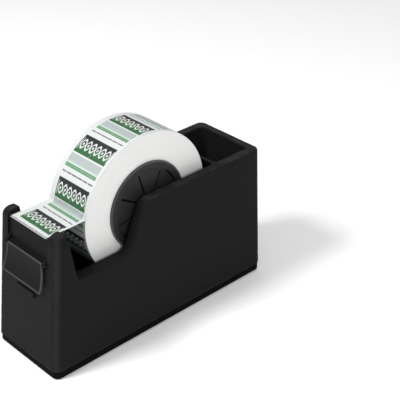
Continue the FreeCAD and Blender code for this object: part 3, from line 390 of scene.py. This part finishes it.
def tape_film(name):
    """Clear-coated printed film. The chart's x runs over the width and its y counts labels. The sides of
    the roll, where the chart's x is below 0, are the milky edges of many turns."""
    f = Finish(name)
    across, along = f.chart("X"), f.chart("Y")
    ink = label_ink(f, across, along)
    edge = 1 - across.rise(-0.02, -0.01)
    reach = f.from_axle()
    rings = f.noise(2600, 3, 0.7, f.point(reach, 0.0, 0.0))
    wide_rings = f.noise(420, 3, 0.6, f.point(reach, 0.0, 0.3))
    cloud = f.noise(26, 3, 0.5)
    side = f.mix(rings * 0.5 + wide_rings * 0.3, SIDE_WHITE, shade(0.66, 0.665, 0.655))
    side = f.mix(wide_rings.rise(0.62, 0.72) * 0.5, side, shade(0.55, 0.60, 0.56))
    outermost = reach.rise(ROLL_RADIUS - 0.0012, ROLL_RADIUS - 0.0002)
    side = f.mix(outermost * 0.35, side, shade(0.52, 0.60, 0.55))
    # painted shade: the roll's side turns darker and browner over the last 1.2 mm beside the core
    core_shade_mask = 1 - reach.rise(CORE_OUTSIDE, CORE_OUTSIDE + 0.0012)
    side = f.mix(core_shade_mask * 0.5, side, shade(0.40, 0.33, 0.25))
    tone = f.mix(edge, f.mix(cloud * 0.04, ink, shade(0.75, 0.78, 0.77)), side)
    ripples = f.noise(150, 3, 0.55)
    bubbles = f.noise(420, 2, 0.5).rise(0.66, 0.74)
    face_rough = 0.40 + (ripples - 0.5) * 0.2 + bubbles * 0.12
    roughness = f.between(edge, face_rough, 0.62 + (rings - 0.5) * 0.2)
    height = f.between(edge, ripples * 0.5 + bubbles * 0.06, rings * 0.5 + wide_rings * 0.5)
    normal = f.bump(height, 0.00012, 0.35)
    return f.end(Base_Color=tone, Roughness=roughness, Specular_IOR_Level=0.18, Normal=normal)


# ---------------------------------------------------------------- surfaces

def surface(name, grid, close_rows=False, close_columns=False, chart=None):
    """A mesh over a grid of points. Rows or columns that close join their last line to the first. chart
    gives a place for each corner of the grid, one row and column more where it closes."""
    rows, columns = grid.shape[:2]
    index = np.arange(rows * columns).reshape(rows, columns)
    if close_rows:
        index = np.vstack([index, index[:1]])
    if close_columns:
        index = np.hstack([index, index[:, :1]])
    faces = np.stack([index[:-1, :-1], index[:-1, 1:], index[1:, 1:], index[1:, :-1]], -1).reshape(-1, 4)
    mesh = bpy.data.meshes.new(name)
    mesh.vertices.add(rows * columns)
    mesh.vertices.foreach_set("co", grid.reshape(-1).astype(np.float32))
    mesh.loops.add(faces.size)
    mesh.loops.foreach_set("vertex_index", faces.reshape(-1).astype(np.int32))
    mesh.polygons.add(len(faces))
    mesh.polygons.foreach_set("loop_start", np.arange(0, faces.size, 4, dtype=np.int32))
    mesh.polygons.foreach_set("use_smooth", np.ones(len(faces), bool))
    if chart is not None:
        corners = np.stack([chart[:-1, :-1], chart[:-1, 1:], chart[1:, 1:], chart[1:, :-1]], -2)
        layer = mesh.uv_layers.new(name="chart")
        layer.data.foreach_set("uv", corners.reshape(-1).astype(np.float32))
    mesh.update()
    mesh.validate()
    made = bpy.data.objects.new(name, mesh)
    bpy.context.collection.objects.link(made)
    return made


def film_roll(material):
    """The wound tape. Its section is a rectangle with tiny rounded corners, carried round the axle. Each
    side face stands out by a sum of three sines of the radius, slow, middling and fast, as turns that were
    wound unevenly do, and the roll's radius varies by two faint waves round it."""
    steps, inner, outer = 288, CORE_OUTSIDE + 0.1 * MM, ROLL_RADIUS
    bevel = 0.22 * MM
    reach = np.linspace(inner, outer - bevel, 74)
    height, wave = np.array([[0.035, 0.03, 0.02], [2.3, 0.61, 0.23]])[..., None] * MM
    uneven = (height * np.sin(reach / wave)).sum(0)
    uneven = uneven * np.clip((outer - reach) / (3 * MM), 0, 1)
    half = HALF_TAPE - 0.06 * MM
    bend = np.radians(np.linspace(15, 75, 3))
    corner_reach = outer - bevel + bevel * np.sin(bend)
    corner_side = half - bevel + bevel * np.cos(bend)
    face = np.linspace(half - bevel, -half + bevel, 14)
    side = np.concatenate([half + uneven, corner_side, face, -corner_side[::-1], -(half + uneven)[::-1]])
    radius = np.concatenate([reach, corner_reach, np.full(face.size, outer), corner_reach[::-1], reach[::-1]])
    angle = np.arange(steps) / steps * TURN
    loop = np.append(angle, TURN)
    slack = 1 + 0.00012 * np.sin(3 * angle + 0.4) + 0.00008 * np.sin(7 * angle)
    grid = np.stack([
        np.broadcast_to(side, (steps, side.size)),
        AXLE_Y - np.outer(np.cos(angle) * slack, radius),
        AXLE_Z + np.outer(np.sin(angle) * slack, radius),
    ], -1)
    printed = np.abs(side) < half - 0.1 * bevel
    width = np.where(printed & (radius > outer - 0.9 * bevel), (side + HALF_TAPE) / (2 * HALF_TAPE), -0.5)
    width = np.append(width, width[0])
    label = (LABEL_START - loop) / (TURN / REPEATS)
    chart = np.stack(np.broadcast_arrays(width[None, :], label[:, None]), -1)
    made = surface("film_roll", grid, True, True, chart)
    tidy(made)
    made.data.materials.append(material)
    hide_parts("tape_roll")
    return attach(made, "hub")


def lead_lines(across):
    """Lines along the tape's free end, one for each place across it, and the angle at which they leave the
    roll. A line runs from the cut edge level over the bridge, sags by half a sine between the bridge and the
    roll, turns up in a quadratic arc and then follows the roll closely. The cut edge is a zigzag, as the
    blade leaves it."""
    middle = (LEAD_LOW.z + LEAD_HIGH.z) / 2
    orbit = ROLL_RADIUS + LEAD_CLEARANCE
    meets = math.asin((middle + 2.0 * MM - AXLE_Z) / orbit)
    leaves = meets + LEAD_HOLD
    hug = np.linspace(meets, leaves, 8)
    hold = np.stack([AXLE_Y - orbit * np.cos(hug), AXLE_Z + orbit * np.sin(hug)], -1)
    crease = AXLE_Y - orbit * math.cos(math.asin((middle - AXLE_Z) / orbit))
    back = crease - 1.6 * MM
    zigzag = np.abs(((across + HALF_TAPE) / TOOTH_PITCH) % 1 - 0.5) * 2
    front = LEAD_LOW.y + 0.15 * MM + zigzag * TOOTH_CUT
    y = front[:, None] + np.outer(back - front, np.linspace(0, 1, 60))
    span_start = BRIDGE_REAR + MM
    ahead = np.clip((y - span_start) / (back - span_start), 0, 1)
    drop = LEAD_SAG * np.sin(math.pi * ahead)
    flat = np.stack([y, middle - drop + 0.03 * MM * np.sin(across / (4 * MM))[:, None]], -1)
    knee = np.array([crease - 0.1 * MM, middle + 0.05 * MM])
    bend = np.linspace(0, 1, 9)[1:-1, None]
    arc = (1 - bend) ** 2 * flat[:, -1:] + 2 * bend * (1 - bend) * knee + bend ** 2 * hold[0]
    return np.concatenate([flat, arc, np.broadcast_to(hold, (across.size, *hold.shape))], 1), leaves


def film_lead(material):
    """The tape's free end, a thin closed strip. Its thickness is laid off at right angles to its lines, half
    to each side, and tapers to nothing at all four edges."""
    across = np.linspace(-HALF_TAPE, HALF_TAPE, 201)
    line, leaves = lead_lines(across)
    step = np.gradient(line, axis=1)
    step /= np.linalg.norm(step, axis=2, keepdims=True)
    out = np.stack([-step[..., 1], step[..., 0]], -1)
    thick = np.full(across.size, LEAD_THICKNESS / 2)
    thick[[0, -1]] = 0
    taper = np.ones(line.shape[1])
    taper[[0, -1]] = 0
    lift = out * (thick[:, None] * taper[None, :])[..., None]
    upper, lower = line + lift, line - lift
    section = np.concatenate([upper, lower[:, ::-1]], 1)
    grid = np.concatenate([np.broadcast_to(across[:, None, None], (*section.shape[:2], 1)), section], -1)
    centre_line = line[across.size // 2]
    run = np.concatenate([[0], np.cumsum(np.linalg.norm(np.diff(centre_line, axis=0), axis=1))])
    end_label = (LABEL_START - leaves) / (TURN / REPEATS)
    label = end_label + (run[-1] - run + LABEL_SLIP) / LABEL
    label = np.minimum(label, math.floor(label.max()) + LAST_INK)
    label = np.concatenate([label, label[::-1], label[:1]])
    width = (across + HALF_TAPE) / (2 * HALF_TAPE)
    chart = np.stack(np.broadcast_arrays(width[:, None], label[None, :]), -1)
    made = surface("film_lead", grid, False, True, chart)
    tidy(made)
    made.data.materials.append(material)
    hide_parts("tape_lead")
    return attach(made, "roll_carrier")


def tidy(piece):
    """Merges points that coincide, so that thin edges close, and turns every face outwards."""
    work = bmesh.new()
    work.from_mesh(piece.data)
    bmesh.ops.remove_doubles(work, verts=work.verts, dist=1e-6)
    bmesh.ops.recalc_face_normals(work, faces=work.faces)
    work.to_mesh(piece.data)
    work.free()


# ---------------------------------------------------------------- dressing the frame

def dress(material, *nodes):
    """Gives one material to whole CAD nodes."""
    for name in nodes:
        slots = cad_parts[name].data.materials
        slots.clear()
        slots.append(material)


CASE_BLACK = shade(0.0080, 0.0081, 0.0083)
dress(moulded("case_plastic", CASE_BLACK, 0.48, 0.05, 0.5, case_painted_highlights), "casing")
dress(moulded("base_plastic", shade(0.0036, 0.0036, 0.0037), 0.56, 0.02, 0.5, foot_band_wear), "base_plate")
dress(moulded("bridge_plastic", shade(0.0062, 0.0063, 0.0065), 0.46, 0.05, 0.35, apron_wear), "tape_bridge")
dress(moulded("guard_plastic", shade(0.0075, 0.0076, 0.0078), 0.48, 0.06, 0.4, lip_painted_highlights), "blade_guard")
dress(
    moulded("hub_plastic", shade(0.0150, 0.0150, 0.0160), 0.42, 0.26, 0.35, hub_wear),
    "hub_half_left", "hub_half_right",
)
dress(ground_steel("blade_steel", shade(0.62, 0.63, 0.65), 0.28, "Y", 2400), "cutter_blade")
plated = ground_steel("plated_steel", shade(0.55, 0.56, 0.57), 0.32, "X", 1500)
dress(plated, "blade_screws", "base_screws", "ballast_screws", "guard_pin", "hub_spindle", "spindle_clips")
dress(cast_iron("ballast_iron"), "ballast_block")
rubber = foot_rubber("foot_rubber")
dress(rubber, "foot_front_left", "foot_front_right", "foot_rear_left", "foot_rear_right")
dress(wound_card("core_card"), "tape_core")
film = tape_film("printed_film")
film_roll(film)
film_lead(film)


# ---------------------------------------------------------------- stage

def floor():
    """A wide flat sheet at bench level."""
    far = 3.0
    sides = np.linspace(-far, far, 3)
    grid = np.stack([*np.meshgrid(sides, sides, indexing="xy"), np.zeros((3, 3))], -1)
    made = surface("bench_top", grid)
    f = Finish("bench_top")
    cloud = f.noise(3, 2, 0.5)
    tone = f.mix(cloud, shade(0.92, 0.92, 0.92), shade(0.94, 0.94, 0.94))
    made.data.materials.append(f.end(Base_Color=tone, Roughness=0.9, Specular_IOR_Level=0.1))


def soft_box(name, place, aim, width, height, power):
    """A rectangular area light turned towards its aim. Its size is in metres and its power in watts."""
    data = bpy.data.lights.new(name, "AREA")
    data.shape = "RECTANGLE"
    data.size, data.size_y = width, height
    data.energy = power
    made = bpy.data.objects.new(name, data)
    made.location = place
    made.rotation_euler = (Vector(aim) - Vector(place)).to_track_quat("-Z", "Y").to_euler()
    bpy.context.collection.objects.link(made)


def studio():
    """An even pale surround, a key light from the front left, a wide one from the right and one overhead."""
    world = bpy.data.worlds.new("studio")
    bpy.context.scene.world = world
    world.use_nodes = True
    sky = world.node_tree.nodes["Background"]
    sky.inputs["Color"].default_value = shade(1.0, 1.0, 1.0)
    sky.inputs["Strength"].default_value = 0.39
    centre = (0.0, 0.0, 0.08)
    soft_box("key_box", (-0.36, -1.10, 1.45), centre, 0.50, 0.50, 28)
    soft_box("side_box", (1.50, -0.35, 1.00), centre, 1.1, 0.8, 13)
    soft_box("top_box", (0.1, 0.3, 1.9), centre, 1.2, 1.2, 9)


def camera():
    """The viewpoint: round to the front right and above, with a long lens."""
    azimuth, elevation = math.radians(46.41), math.radians(30.55)
    data = bpy.data.cameras.new("camera")
    data.sensor_width = 36.0
    data.lens = 95.29
    data.clip_start, data.clip_end = 0.05, 20.0
    made = bpy.data.objects.new("camera", data)
    made.location = (0.6392, -0.5239, 0.5992)
    ahead = Vector((
        -math.sin(azimuth) * math.cos(elevation),
        math.cos(azimuth) * math.cos(elevation),
        -math.sin(elevation),
    ))
    made.rotation_euler = ahead.to_track_quat("-Z", "Y").to_euler()
    bpy.context.collection.objects.link(made)
    bpy.context.scene.camera = made


floor()
studio()
camera()
bpy.context.scene.view_settings.view_transform = "Standard"
